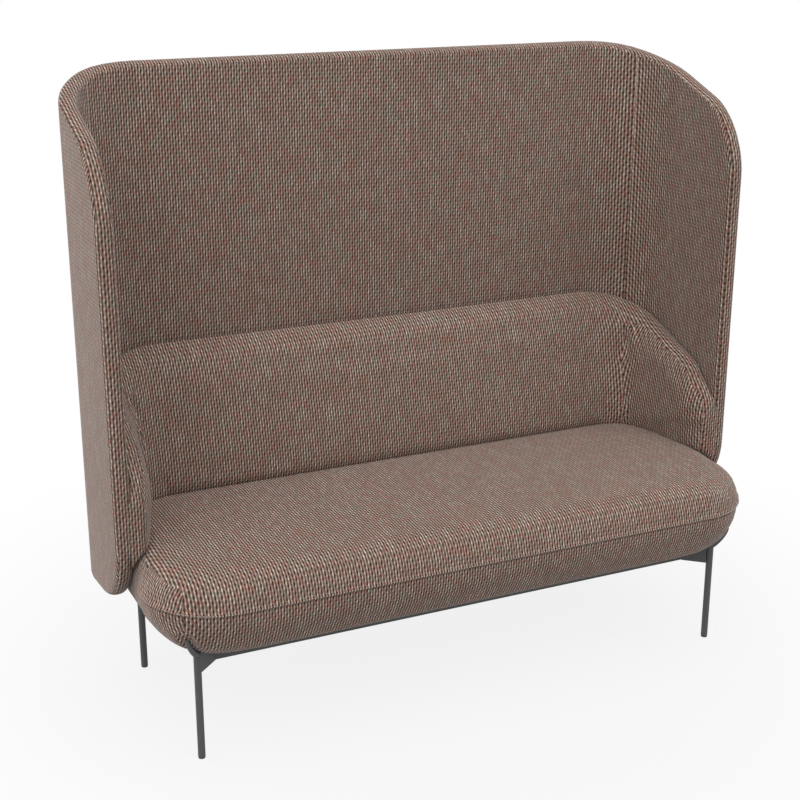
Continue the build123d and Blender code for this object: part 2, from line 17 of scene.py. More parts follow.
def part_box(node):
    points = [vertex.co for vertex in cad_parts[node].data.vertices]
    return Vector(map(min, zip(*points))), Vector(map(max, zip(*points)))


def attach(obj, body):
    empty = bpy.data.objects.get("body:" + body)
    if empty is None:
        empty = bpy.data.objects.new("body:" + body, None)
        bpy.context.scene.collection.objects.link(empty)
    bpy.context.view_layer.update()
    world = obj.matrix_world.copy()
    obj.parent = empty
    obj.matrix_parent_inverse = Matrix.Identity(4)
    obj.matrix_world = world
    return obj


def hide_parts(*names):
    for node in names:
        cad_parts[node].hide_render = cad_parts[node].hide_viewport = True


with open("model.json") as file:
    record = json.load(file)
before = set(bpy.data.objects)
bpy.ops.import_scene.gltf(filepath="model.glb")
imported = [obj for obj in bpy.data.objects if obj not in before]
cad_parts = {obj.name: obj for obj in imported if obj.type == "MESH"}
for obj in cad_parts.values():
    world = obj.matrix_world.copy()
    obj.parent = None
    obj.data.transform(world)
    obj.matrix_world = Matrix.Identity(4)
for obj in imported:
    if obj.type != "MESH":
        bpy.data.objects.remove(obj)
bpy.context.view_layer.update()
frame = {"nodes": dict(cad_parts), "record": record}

nodes = frame["nodes"]
scene = bpy.context.scene
scene.view_settings.view_transform = "Standard"
print("solids to dress:", len(nodes))

# %% [markdown]
# ## The camera
# The photograph looks down on the sofa from the left front. A camera could be turned towards the
# sofa's middle, but here the feet of the four legs gave its exact place, so it is written as a
# point, a tilt, a heading and a lens.

# %% Camera
camera_tilt = radians(71.49)
camera_heading = radians(-25.14)
camera_data = bpy.data.cameras.new("camera")
camera_data.lens = 66.83
camera_data.sensor_width = 36.0
camera = bpy.data.objects.new("camera", camera_data)
camera.location = (-1.43463, -2.90675, 1.720)
camera.rotation_euler = (camera_tilt, 0, camera_heading)
scene.collection.objects.link(camera)
scene.camera = camera
print("camera stands at", tuple(round(value, 2) for value in camera.location))

# %% [markdown]
# ## Writing shaders as sums
# A finish is a net of small nodes. Laid out by hand it is hard to read, so one class wraps a
# socket: arithmetic on it adds Math nodes, and one method adds any other node.

# %% A socket that can be added and multiplied


class Ink:
    """One socket of a node tree, for use in expressions."""

    def __init__(self, tree, socket=None):
        self.tree = tree
        self.socket = socket

    def node(self, kind, settings=None, values=None, output=0):
        """Add a node, set it up, fill or link its sockets and return one output."""
        made = self.tree.nodes.new(kind)
        for name, value in (settings or {}).items():
            if name == "stops":
                while len(made.color_ramp.elements) < len(value):
                    made.color_ramp.elements.new(0.5)
                for element, (spot, shade) in zip(made.color_ramp.elements, value):
                    element.position = spot
                    element.color = (*shade, 1)
            else:
                setattr(made, name, value)
        for key, value in (values or {}).items():
            if isinstance(value, Ink):
                self.tree.links.new(value.socket, made.inputs[key])
            else:
                made.inputs[key].default_value = value
        return Ink(self.tree, made.outputs[output])

    def maths(self, operation, first, second=0.0):
        return self.node("ShaderNodeMath", {"operation": operation}, {0: first, 1: second})

    def __add__(self, other):
        return self.maths("ADD", self, other)

    def __sub__(self, other):
        return self.maths("SUBTRACT", self, other)

    def __rsub__(self, other):
        return self.maths("SUBTRACT", other, self)

    def __mul__(self, other):
        return self.maths("MULTIPLY", self, other)

    def __truediv__(self, other):
        return self.maths("DIVIDE", self, other)

    def __gt__(self, other):
        return self.maths("GREATER_THAN", self, other)

    def __lt__(self, other):
        return self.maths("LESS_THAN", self, other)

    __radd__ = __add__
    __rmul__ = __mul__

    def floor(self):
        return self.maths("FLOOR", self)

    def part(self):
        return self.maths("FRACT", self)

    def size(self):
        return self.maths("ABSOLUTE", self)

    def wave(self):
        """A cosine of one turn for each whole number."""
        return self.maths("COSINE", self * (2 * pi))

    def larger(self, other):
        return self.maths("MAXIMUM", self, other)

    def fade(self, low, high):
        """0 below low, 1 above high, smooth between."""
        settings = {"interpolation_type": "SMOOTHSTEP"}
        values = {"Value": self, "From Min": low, "From Max": high}
        return self.node("ShaderNodeMapRange", settings, values)

    def split(self):
        """The three numbers of a vector."""
        first = self.node("ShaderNodeSeparateXYZ", None, {0: self})
        return [Ink(self.tree, output) for output in first.socket.node.outputs]

    def pair(self, first, second):
        return self.node("ShaderNodeCombineXYZ", None, {0: first, 1: second})

    def chance(self, first, second):
        """A steady random number for each pair of whole numbers."""
        settings = {"noise_dimensions": "2D"}
        return self.node("ShaderNodeTexWhiteNoise", settings, {"Vector": self.pair(first, second)})

    def noise(self, place, scale, detail=2.0):
        values = {"Vector": place, "Scale": scale, "Detail": detail}
        return self.node("ShaderNodeTexNoise", None, values)

    def pick(self, share, first, second):
        """One number or the other, by share."""
        return first + (second - first) * share

    def blend(self, share, first, second, how="MIX"):
        """Two colours mixed by share."""
        settings = {"data_type": "RGBA", "blend_type": how}
        return self.node("ShaderNodeMix", settings, {0: share, 6: first, 7: second}, 2)


def new_finish(name):
    """An empty material with its shader, ready for expressions."""
    material = bpy.data.materials.new(name)
    material.use_nodes = True
    tree = material.node_tree
    shader = tree.nodes["Principled BSDF"]
    return material, shader, Ink(tree)


def feed(ink, shader, values):
    """Fill or link the shader's own sockets."""
    for key, value in values.items():
        if isinstance(value, Ink):
            ink.tree.links.new(value.socket, shader.inputs[key])
        else:
            shader.inputs[key].default_value = value


def rgb(red, green, blue):
    return (red, green, blue, 1)


print("shader sums ready")

# %% [markdown]
# ## The woven cover
# The cover is a coarse weave: pale floats stand in columns 6.4 mm apart, each second column
# shifted by half a stitch, over darker threads that turn rust red or grey green in stretches.
# The cloth follows each face squarely, so the weave is laid out from the three axes and the
# face's own direction chooses two of them. The floats also lift the surface a little.
# Shade is also painted into the colour: the holes are near black, the floats darken towards their
# ends and stay light in the middle, and the grooves and the rows where the weft dips are darker.

# %% Threads of the weave
column_pitch = 0.0064
stitch_pitch = 0.0173
dyed_stretch = 0.0128
rust_above = 0.8
green_below = 0.18
twist_pitch = 0.0021
side_wander = 0.0022
length_wander = 0.003


def thread_places(ink, place):
    """How far a point lies across the columns and along them, with a little wander."""
    facing = ink.node("ShaderNodeTexCoord", output="Normal")
    x, y, z = place.split()
    turn_x, turn_y, turn_z = [turn.size() for turn in facing.split()]
    is_side = turn_x > turn_y.larger(turn_z)
    is_top = turn_z > turn_x.larger(turn_y)
    wander = ink.noise(place, 45.0, 1.0) - 0.5
    across = ink.pick(is_side, x, y) + wander * side_wander
    along = ink.pick(is_top, z, 0 - y) + wander * length_wander
    return across, along


def dyed_threads(ink, across, along):
    """Masks of the rust red and the grey green stretches."""
    row_number = (along / (stitch_pitch * 0.5) + 0.5).floor()
    stretch = across / dyed_stretch + ink.chance(row_number, 3.0) * 9
    dye = ink.chance(row_number, stretch.floor())
    return dye > rust_above, dye < green_below


print("weave:", round(column_pitch * 1000, 1), "mm columns")

# %% Colours of the weave
float_shades = [
    (0.0, (0.385, 0.265, 0.225)),
    (0.4, (0.435, 0.32, 0.27)),
    (0.7, (0.45, 0.365, 0.312)),
    (1.0, (0.58, 0.49, 0.43)),
]
# float_end_shade is painted shade: each float is darkened towards its ends, where it dips under
# the weft.
float_end_shade = rgb(0.16, 0.1, 0.08)
float_rust = rgb(0.36, 0.14, 0.11)
float_green = rgb(0.27, 0.28, 0.21)
# The weft colours are the under-threads' own dye, kept dark also as painted shade in the grooves
# between the columns.
weft_brown = rgb(0.14, 0.082, 0.06)
weft_rust = rgb(0.2, 0.075, 0.045)
weft_green = rgb(0.115, 0.125, 0.085)
# The hole colours are painted shade: near black where shade falls into the holes of the weave.
hole_shade_brown = rgb(0.018, 0.0095, 0.006)
hole_shade_rust = rgb(0.04, 0.012, 0.007)
float_height = 0.0014


def woven_cover(name):
    """Pale floats over dyed threads, with painted shade in the holes, at the float ends, in the
    grooves and along the rows, and a little fluff.
    """
    material, shader, ink = new_finish(name)
    place = ink.node("ShaderNodeTexCoord", output="Object")
    across, along = thread_places(ink, place)
    is_rust, is_green = dyed_threads(ink, across, along)

    column = across / column_pitch
    gap_number = column.floor()
    rib_number = (column + 0.5).floor()
    gap_stitch = along / stitch_pitch + (gap_number * 0.5).part()
    rib_stitch = along / stitch_pitch + (rib_number * 0.5).part() + 0.75
    gap = (0.5 - column.wave() * 0.5).fade(0.02, 0.72)
    hole = (0.5 + gap_stitch.wave() * 0.5).fade(0.1, 0.8)
    bead = (0.5 + rib_stitch.wave() * 0.5).fade(0.05, 0.9)
    # row marks where the weft dips between stitches; it is used only to darken the colour below,
    # as painted shade.
    row = 0.5 + (along * (2 / stitch_pitch)).wave() * 0.5

    rib_chance = ink.chance(rib_number, rib_stitch.floor())
    rib_colour = ink.node("ShaderNodeValToRGB", {"stops": float_shades}, {"Fac": rib_chance})
    # Painted shade and highlight: the float darkens towards its ends and stays light in the middle
    # of its bead.
    rib_colour = ink.blend((1.0 - bead) * 0.56, rib_colour, float_end_shade)
    rib_colour = ink.blend(is_rust * 0.16, rib_colour, float_rust)
    rib_colour = ink.blend(is_green * 0.18, rib_colour, float_green)
    weft_colour = ink.blend(is_rust * 0.65, weft_brown, weft_rust)
    weft_colour = ink.blend(is_green * 0.6, weft_colour, weft_green)
    # Painted shade in the holes, tinted rust where the weft is rust.
    hole_shade_colour = ink.blend(is_rust * 0.7, hole_shade_brown, hole_shade_rust)
    gap_colour = ink.blend(hole * 0.8, weft_colour, hole_shade_colour)
    # Between the columns the weft shows; its darkness there is partly its own dye and partly
    # painted groove shade.
    cloth = ink.blend(gap, rib_colour, gap_colour)

    twist = ((along + across * 0.8) / twist_pitch).wave()
    fluff = ink.noise(place, 900.0)
    # Fluff and the yarn twist vary the tone; the factor on row is painted shade, darker along the
    # rows where the weft dips.
    shade = (fluff.fade(0.25, 0.75) * 0.24 + 0.92 + twist * 0.07) * (1.12 - row * 0.4)
    grey = ink.node("ShaderNodeCombineColor", None, {0: shade, 1: shade, 2: shade})
    colour = ink.blend(1.0, cloth, grey, "MULTIPLY")
    lift = (1.0 - gap) * (bead * 0.4 + 0.6) - gap * hole * 0.4 + fluff * 0.12 + twist * 0.05
    relief = {"Strength": 0.6, "Distance": float_height, "Height": lift}
    feed(ink, shader, {
        "Base Color": colour,
        "Roughness": 0.86 + gap * 0.1,
        "Normal": ink.node("ShaderNodeBump", None, relief),
        "Sheen Weight": 0.26,
        "Sheen Roughness": 0.35,
        "Sheen Tint": rgb(0.95, 0.92, 0.9),
        "Specular IOR Level": 0.2,
    })
    return material


cover_finish = woven_cover("woven_cover")
print("cover:", len(cover_finish.node_tree.nodes), "nodes")

# %% [markdown]
# ## Powder coat, plastic and the hidden materials
# The frame has a matte dark coat with a very fine grain. The pieces inside the covers show only
# when the sofa is taken apart, but each gets the finish that it has in a workshop.

# %% Frame and inner finishes
grain_height = 0.0002


def grained(name, dark, light, scale, rough, metal=0.0, stretch=(1, 1, 1)):
    """A finish whose colour, roughness and surface follow one fine noise."""
    material, shader, ink = new_finish(name)
    place = ink.node("ShaderNodeTexCoord", output="Object")
    turned = ink.node("ShaderNodeMapping", None, {"Vector": place, "Scale": stretch})
    grain = ink.noise(turned, scale, 4.0)
    broad = ink.noise(turned, scale * 0.03)
    colour = ink.blend(grain * 0.6 + broad * 0.4, rgb(*dark), rgb(*light))
    relief = {"Strength": 0.4, "Distance": grain_height, "Height": grain}
    feed(ink, shader, {
        "Base Color": colour,
        "Roughness": grain * 0.16 + (rough - 0.08),
        "Metallic": metal,
        "Normal": ink.node("ShaderNodeBump", None, relief),
    })
    return material


# For each slot: name, dark and light colour, grain scale, roughness, metal and grain direction
upright_grain = (1, 1, 12)
brushed = (1, 1, 6)
crosswise = (6, 1, 1)
finish_rows = {
    "frame_steel": ("powder_coat", (0.04, 0.041, 0.043), (0.068, 0.069, 0.072), 1400.0, 0.55),
    "glide_plastic": ("glide_plastic", (0.02, 0.02, 0.021), (0.04, 0.04, 0.042), 900.0, 0.5),
    "zinc_hardware": ("zinc_plate", (0.5, 0.5, 0.48), (0.7, 0.7, 0.67), 500.0, 0.35, 1.0, brushed),
    "plywood": ("birch_ply", (0.5, 0.34, 0.19), (0.74, 0.58, 0.38), 60.0, 0.6, 0.0, upright_grain),
    "webbing": (
        "elastic_webbing", (0.06, 0.055, 0.05), (0.16, 0.15, 0.13), 260.0, 0.9, 0.0, crosswise
    ),
    "dust_cover": ("dust_cover", (0.012, 0.012, 0.012), (0.035, 0.035, 0.035), 700.0, 0.95),
    "foam": ("foam", (0.72, 0.66, 0.48), (0.9, 0.85, 0.68), 300.0, 0.95),
}
finishes = {slot: grained(*row) for slot, row in finish_rows.items()}
for entry in frame["record"]["subparts"]:
    solid = nodes[entry["node"]]
    finish = finishes.get(entry["material_slot"], cover_finish)
    solid.data.materials.clear()
    solid.data.materials.append(finish)
print("finishes:", len(finishes) + 1)

# %% [markdown]
# ## Turning a bmesh into a piece
# Every new piece ends the same way: faces outwards, smooth shading with hard edges only where the
# shape turns sharply, one finish, and a line that ties it to the sofa's body.

# %% Helpers for pieces
sharp_turn = radians(55)


def piece_from(shape, name, material):
    """Make an object from a bmesh and free the bmesh."""
    bmesh.ops.recalc_face_normals(shape, faces=shape.faces)
    mesh = bpy.data.meshes.new(name)
    shape.to_mesh(mesh)
    shape.free()
    mesh.materials.append(material)
    mesh.shade_smooth()
    mesh.set_sharp_from_angle(angle=sharp_turn)
    piece = bpy.data.objects.new(name, mesh)
    scene.collection.objects.link(piece)
    return piece


def evaluated_mesh(piece):
    """The piece's mesh with its modifiers applied."""
    graph = bpy.context.evaluated_depsgraph_get()
    return bpy.data.meshes.new_from_object(piece.evaluated_get(graph))


def remeshed(piece, voxel):
    """Replace the piece's mesh by an even skin of small squares."""
    even = piece.modifiers.new("even", "REMESH")
    even.mode = "VOXEL"
    even.voxel_size = voxel
    mesh = evaluated_mesh(piece)
    piece.modifiers.clear()
    piece.data = mesh


print("pieces get hard edges from", round(sharp_turn * 180 / pi), "degrees")

# %% [markdown]
# ## Filling, softening and sewing
# Padding pushes a cover outwards until the cloth is tight. Cloth with pressure does just that, so
# a cover is blown up for a few frames while the points that something holds stay where they are.
# How far a point may move is capped, because a stuffed cover is firm.

# %% Fill a cover
filling_pressure = 4.0
filling_frames = 20
cover_stiffness = 25.0
cover_bending = 2.0


def swell(piece, is_held, most_at):
    """Blow the cover up a little with Cloth, keep held points, and cap how far a point moves."""
    rest = [vertex.co.copy() for vertex in piece.data.vertices]
    held = piece.vertex_groups.new(name="held")
    held.add([index for index, point in enumerate(rest) if is_held(point)], 1.0, "REPLACE")
    cloth = piece.modifiers.new("cloth", "CLOTH")
    cloth.settings.vertex_group_mass = "held"
    cloth.settings.use_pressure = True
    cloth.settings.uniform_pressure_force = filling_pressure
    cloth.settings.tension_stiffness = cover_stiffness
    cloth.settings.compression_stiffness = cover_stiffness
    cloth.settings.bending_stiffness = cover_bending
    cloth.settings.effector_weights.gravity = 0.0
    cloth.point_cache.frame_start = 1
    cloth.point_cache.frame_end = filling_frames
    for number in range(1, filling_frames + 1):
        scene.frame_set(number)
    blown = evaluated_mesh(piece)
    piece.modifiers.clear()
    piece.vertex_groups.clear()
    moved = 0.0
    for vertex, start, end in zip(piece.data.vertices, rest, blown.vertices):
        step = end.co - start
        most = most_at(start)
        if step.length > most:
            step *= most / step.length
        vertex.co = start + step
        moved = max(moved, step.length)
    bpy.data.meshes.remove(blown)
    scene.frame_set(1)
    print(piece.name, "swelled by up to", round(moved * 1000, 1), "mm")


print("covers are filled for", filling_frames, "frames")

# %% Soften, refine and sew


def relax(piece, rounds, factor, is_free):
    """Soften a skin: free points drift towards their neighbours."""
    shape = bmesh.new()
    shape.from_mesh(piece.data)
    free = [vertex for vertex in shape.verts if is_free(vertex.co)]
    for _ in range(rounds):
        bmesh.ops.smooth_vert(
            shape, verts=free, factor=factor, use_axis_x=True, use_axis_y=True, use_axis_z=True
        )
    shape.to_mesh(piece.data)
    shape.free()


def finer(piece):
    """One level of subdivision, applied."""
    halves = piece.modifiers.new("halves", "SUBSURF")
    halves.levels = halves.render_levels = 1
    mesh = evaluated_mesh(piece)
    piece.modifiers.clear()
    piece.data = mesh


def sewn(piece, material):
    """Give a finished skin its name and its cloth."""
    piece.data.name = piece.name
    piece.data.materials.clear()
    piece.data.materials.append(material)
    piece.data.shade_smooth()


def clamp(value):
    return min(max(value, 0.0), 1.0)


def ramp(value, start, run):
    """0 at start, 1 a run further on, soft at both ends; a negative run goes backwards."""
    share = clamp((value - start) / run)
    return share * share * (3 - 2 * share)


def between(stops, place):
    """Straight-line value between stops that are sorted by place."""
    if place <= stops[0][0]:
        return stops[0][1]
    for (low, first), (high, second) in zip(stops, stops[1:]):
        if place <= high:
            return first + (second - first) * (place - low) / (high - low)
    return stops[-1][1]


def settle(piece, slot, *replaced):
    """Tie a piece to the sofa's body and hide the solids that it stands for; slot is not used."""
    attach(piece, "root")
    if replaced:
        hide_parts(*replaced)


print("sewing helpers ready")

# %% [markdown]
# ## The shell, cut flat and then bent
# The back and the two wings are one long panel that is bent round the corners, with a rounded
# edge. Bevelling a bent panel is hard, so we cut it flat, as an upholsterer does: the outline
# first, then its thickness and the rounded edge, and only then the bend. The inner and the outer
# cover are two such halves that meet in the middle of the edge.

# %% Sizes of the shell
shell_half = 0.770
shell_back = 0.3265
wing_front = 0.1105
shell_bottom = 0.280
wing_lift = 0.022
shell_top = 1.402
half_thickness = 0.019
sewn_flat = 0.0012
nose_radius = half_thickness - sewn_flat
upper_rim = 0.5
lower_rim = 0.65
lower_corner = 0.150
upper_corner = 0.185
bend_radius = 0.187
bend_x = 0.564
bend_y = 0.1205
wing_slope = radians(20.7)
fall = tan(wing_slope)
slope_start = 0.3175
knee_radius = 0.300
knee_reach = knee_radius * tan(wing_slope / 2)
corner_tuck = 0.003
tuck_reach = 0.16
slope_reach = 0.15

# Places along the flat panel, measured from the middle of the back
bend_start = bend_x
bend_end = bend_start + bend_radius * pi / 2
panel_end = bend_end + bend_y + wing_front


def top_line(y):
    """Height of the shell's upper edge at a place seen from the side."""
    if y < slope_start - knee_reach * cos(wing_slope):
        return shell_top - (slope_start - y) * fall
    short = min(y - slope_start - knee_reach, 0.0)
    return shell_top - knee_radius + sqrt(knee_radius**2 - short**2)


def bent(along, inwards):
    """Place on the bent panel, seen from above."""
    run = abs(along)
    hand = 1 if along > 0 else -1
    if run < bend_start:
        return along, bend_y + bend_radius - inwards
    if run < bend_end:
        turn = (run - bend_start) / bend_radius
        reach = bend_radius - inwards
        return hand * (bend_x + reach * sin(turn)), bend_y + reach * cos(turn)
    return hand * (bend_x + bend_radius - inwards), bend_y - (run - bend_end)


print("panel is", round(2 * panel_end, 3), "m long before bending")

# %% The flat panel
bend_steps = 9
corner_steps = 14


def flat_outline():
    """One flat face: the panel's outline with its four rounded front corners."""
    shape = bmesh.new()
    upper = [(panel_end, top_line(-wing_front)), (bend_end, top_line(bend_y))]
    for step in range(1, bend_steps + 1):
        turn = pi / 2 * (1 - step / bend_steps)
        place = bend_start + bend_radius * turn
        upper.append((place, top_line(bend_y + bend_radius * cos(turn))))
    right = [(bend_end, shell_bottom), (panel_end, shell_bottom + wing_lift)] + upper
    left = [(-along, height) for along, height in reversed(right)]
    corners = [shape.verts.new((along, 0, height)) for along, height in right + left]
    shape.faces.new(corners)
    low = [corners[1], corners[-2]]
    high = [corners[2], corners[-3]]
    upper_reach = upper_corner * tan((pi / 2 - wing_slope) / 2)
    for verts, reach in ((low, lower_corner), (high, upper_reach)):
        bmesh.ops.bevel(
            shape, geom=verts, offset=reach, offset_type="OFFSET", segments=corner_steps,
            profile=0.5, affect="VERTICES", material=-1,
        )
    return shape


print("wing height at its front:", round(top_line(-wing_front) - shell_bottom - wing_lift, 3), "m")

# %% The rounded edge


def nearest_on(outline, point):
    """The point of a closed outline that lies nearest to a point."""
    feet = []
    for start, end in zip(outline, outline[1:] + outline[:1]):
        run = end - start
        feet.append(start + run * clamp((point - start).dot(run) / run.length_squared))
    return min(feet, key=lambda foot: (foot - point).length_squared)


def tighter_rim(shape, outline):
    """Pull the rounded edge in: it is full at the wings' front, tighter below, tightest above."""
    for vertex in shape.verts:
        point = Vector((vertex.co.x, vertex.co.z))
        foot = nearest_on(outline, point)
        depth = point - foot
        if 1e-6 < depth.length < 1.05 * half_thickness:
            slant = depth.normalized()
            flat_share = lower_rim if slant.y > 0 else upper_rim
            point = foot + depth * (slant.x**2 + slant.y**2 * flat_share)
            vertex.co.x, vertex.co.z = point


print("edge radius:", round(nose_radius * 1000, 1), "mm")

# %% Bend the two halves
nose_steps = 6
bend_cuts = 18


def bend_point(along, inwards, height):
    """Bend one point; near the upper edge its height follows the slope at its own depth."""
    middle_y = bent(along, 0.0)[1]
    over_edge = height - top_line(middle_y)
    turn = clamp((abs(along) - bend_start) / (bend_end - bend_start))
    tuck = corner_tuck * sin(pi * turn) * ramp(over_edge, -tuck_reach, tuck_reach)
    x, y = bent(along, inwards + tuck)
    share = clamp((over_edge + slope_reach) / slope_reach)
    return Vector((x, y, height + share * (top_line(y) - top_line(middle_y))))


def half_shell(side):
    """One half of the shell: side is 1 for the inner cover and -1 for the outer one."""
    shape = flat_outline()
    outline = [Vector((vert.co.x, vert.co.z)) for vert in shape.faces[:][0].verts]
    bmesh.ops.recalc_face_normals(shape, faces=shape.faces)
    raised = bmesh.ops.extrude_face_region(shape, geom=shape.faces[:])
    front = [part for part in raised["geom"] if isinstance(part, bmesh.types.BMVert)]
    bmesh.ops.translate(shape, verts=front, vec=(0, side * half_thickness, 0))
    bmesh.ops.recalc_face_normals(shape, faces=shape.faces)
    reach = side * half_thickness
    rim = [edge for edge in shape.edges if all(abs(v.co.y - reach) < 1e-6 for v in edge.verts)]
    bmesh.ops.bevel(
        shape, geom=rim, offset=nose_radius, offset_type="OFFSET", segments=nose_steps,
        profile=0.5, affect="EDGES", material=-1, clamp_overlap=False,
    )
    tighter_rim(shape, outline)
    cuts = [bend_start + bend_radius * pi / 2 * step / bend_cuts for step in range(bend_cuts + 1)]
    cuts += [0.0, 0.141, 0.282, 0.423, bend_end + 0.05, bend_end + 0.1, bend_end + 0.15]
    for cut in sorted({sign * cut for cut in cuts for sign in (-1, 1)}):
        everything = shape.verts[:] + shape.edges[:] + shape.faces[:]
        bmesh.ops.bisect_plane(
            shape, geom=everything, dist=1e-6, plane_co=(cut, 0, 0), plane_no=(1, 0, 0)
        )
    for vertex in shape.verts:
        vertex.co = bend_point(*vertex.co)
    return shape


inner_cover = piece_from(half_shell(1), "inner_shell_cover", cover_finish)
outer_cover = piece_from(half_shell(-1), "outer_shell_cover", cover_finish)
shell_parts = ("left_wing", "back", "right_wing")
for cover, side in ((inner_cover, "inner"), (outer_cover, "outer")):
    solids = [f"{side}_{part}_{layer}" for part in shell_parts for layer in ("cover", "foam")]
    settle(cover, "upholstery", *solids)
    print(cover.name, len(cover.data.polygons), "faces")

# %% [markdown]
# ## The seat cushion
# The seat is a thick slab with round corners. We bevel a box three times, once for the corners
# seen from above and once each for the lower and the upper edge, give the top its crown, and let
# Cloth fill the cover softly.

# %% Seat slab
seat_half = 0.731
seat_front = -0.3265
seat_back = 0.2855
seat_bottom = 0.231
seat_shoulder = 0.432
upper_round = 0.062
lower_round = 0.122
seat_voxel = 0.012
seat_crown = 0.009
corner_drop = 0.012
claw_corner = 0.165
full_corner = 0.150
seat_middle = (seat_front + seat_back) / 2
seat_reach = (seat_back - seat_front) / 2


def rounded(shape, edges, radius, segments):
    bmesh.ops.bevel(
        shape, geom=edges, offset=radius, offset_type="OFFSET", segments=segments,
        profile=0.5, affect="EDGES", material=-1, clamp_overlap=False,
    )


def level_edges(shape, height):
    return [edge for edge in shape.edges if all(abs(v.co.z - height) < 1e-5 for v in edge.verts)]


def seat_slab():
    """A box with round corners, a large round below and a smaller one above."""
    shape = bmesh.new()
    bmesh.ops.create_cube(shape, size=1.0)
    height = seat_shoulder - seat_bottom
    bmesh.ops.scale(shape, vec=(2 * seat_half, 2 * seat_reach, height), verts=shape.verts)
    bmesh.ops.translate(shape, vec=(0, seat_middle, seat_bottom + height / 2), verts=shape.verts)
    uprights = [edge for edge in shape.edges if abs(edge.verts[0].co.z - edge.verts[1].co.z) > 0.1]
    rounded(shape, uprights, full_corner, 20)
    rounded(shape, level_edges(shape, seat_bottom), lower_round, 12)
    rounded(shape, level_edges(shape, seat_shoulder), upper_round, 10)
    return shape


def crown(point):
    """Rise of the seat's top over its shoulders, and its fall towards the front corners."""
    share = clamp((point.z - seat_shoulder + upper_round) / upper_round)
    reach = (point.y - seat_middle) / seat_reach
    droop = corner_drop * (abs(point.x) / seat_half) ** 4 * max(-reach, 0.0) ** 2
    return (seat_crown * (1 - reach * reach) - droop) * share


print("seat:", round(2 * seat_half, 3), "by", round(2 * seat_reach, 3), "m")

# %% Fullness at the seat's ends
end_swell = 0.004
end_proud = 0.005


def outwards(point):
    """Level direction away from the seat's straight middle."""
    x = max(abs(point.x) - seat_half + claw_corner, 0.0) * (1 if point.x > 0 else -1)
    over_y = abs(point.y - seat_middle) - seat_reach + claw_corner
    y = max(over_y, 0.0) * (1 if point.y > seat_middle else -1)
    return Vector((x, y, 0)).normalized()


def end_fullness(point):
    """How far the seat's ends stand out: at the lower edge, and in front of the wings."""
    low = sin(pi * clamp((point.z - seat_bottom) / lower_round))
    out = abs(point.x)
    length = ramp(point.y, -0.18, 0.06) * ramp(point.y, 0.15, -0.06)
    wanted = end_swell * low * length * ramp(out, 0.64, 0.06)
    before_wing = ramp(point.y, -0.23, 0.04) * ramp(point.y, -0.122, -0.02)
    at_end = ramp(out, 0.69, 0.03) * ramp(point.z, 0.41, -0.05)
    proud = end_proud * before_wing * at_end * ramp(point.z, 0.26, 0.06)
    return min(wanted, max(seat_half - out, 0.0)) + proud


seat = piece_from(seat_slab(), "seat_cushion", cover_finish)
remeshed(seat, seat_voxel)
for vertex in seat.data.vertices:
    vertex.co.z += crown(vertex.co)
    vertex.co.x += end_fullness(vertex.co) * (1 if vertex.co.x > 0 else -1)
print("seat skin:", len(seat.data.vertices), "points")

# %% [markdown]
# The filling presses outwards wherever nothing holds the cover: not under the seat frame, not
# between the wings, not below the pads, and not where the steel claws of the legs press on it.

# %% Fill the seat
steel_reach = 0.008
seat_side_swell = 0.0038
seat_top_swell = 0.0016
seat_top_start = 0.405


def search_tree(*endings):
    """All solids with these name endings, ready for nearest-point questions."""
    shape = bmesh.new()
    for name in nodes:
        if name.endswith(endings):
            shape.from_mesh(nodes[name].data)
    tree = BVHTree.FromBMesh(shape)
    shape.free()
    return tree


steel_tree = search_tree("_leg", "_corner_arm", "_rail")


def seat_held(point):
    """Points that stay where they are while the seat is filled."""
    near_pad = point.y > 0.15 or (abs(point.x) > 0.62 and point.y > -0.115)
    under_pads = near_pad and point.z > 0.39
    beside_shell = point.y > 0.25 or (point.y > -0.125 and abs(point.x) > 0.69)
    near_steel = steel_tree.find_nearest(point, steel_reach)[0] is not None
    return point.z < seat_bottom + 0.006 or under_pads or beside_shell or near_steel


def seat_swell(point):
    """Most that a point of the seat may move."""
    return seat_side_swell if point.z < seat_top_start else seat_top_swell


swell(seat, seat_held, seat_swell)
finer(seat)
print("seat skin, halved:", len(seat.data.vertices), "points")

# %% [markdown]
# The steel claws of the legs press into the round corners, so there the cover is pinched in to
# the corner that the claws were bent to, and it stands out full beside them.

# %% Pinch the corners
claw_search = 0.04
claw_near = 0.004
claw_far = 0.018
claw_bite = 0.0005
claw_root = 0.246
root_pinch = 0.45
pinched = 0
for vertex in seat.data.vertices:
    gap = steel_tree.find_nearest(vertex.co, claw_search)[3]
    way = outwards(vertex.co)
    spare = (claw_corner - full_corner) * (abs(way.x) + abs(way.y) - 1) + claw_bite
    if gap is not None and spare > 0:
        at_claw = root_pinch + (1 - root_pinch) * ramp(vertex.co.z, claw_root, 0.02)
        vertex.co -= way * spare * at_claw * (1 - ramp(gap, claw_near, claw_far))
        pinched += 1
print("points near a claw:", pinched)

# %% [markdown]
# The seat's top and lower cover meet in a sewn lip that runs round the front. The remesh would
# have swallowed it, so it is cut into the finished skin: level cuts give rows of points, which
# are pushed out to the lip's section. One pale stitch lies on every rib of the weave.

# %% Sewn lip
seam_height = 0.360
lip_section = [
    (seam_height - 0.006, 0.0),
    (seam_height - 0.003, -0.0008),
    (seam_height - 0.0008, 0.0030),
    (seam_height + 0.0025, 0.0038),
    (seam_height + 0.0080, 0.0016),
    (seam_height + 0.0150, 0.0),
]
stitch_height = lip_section[3][0]
lip_reach = 0.02


def free_of_shell(point):
    """1 in front of the wings, where the lip shows, and 0 behind their front edge."""
    return 1 - ramp(point.y, -0.145, 0.025)


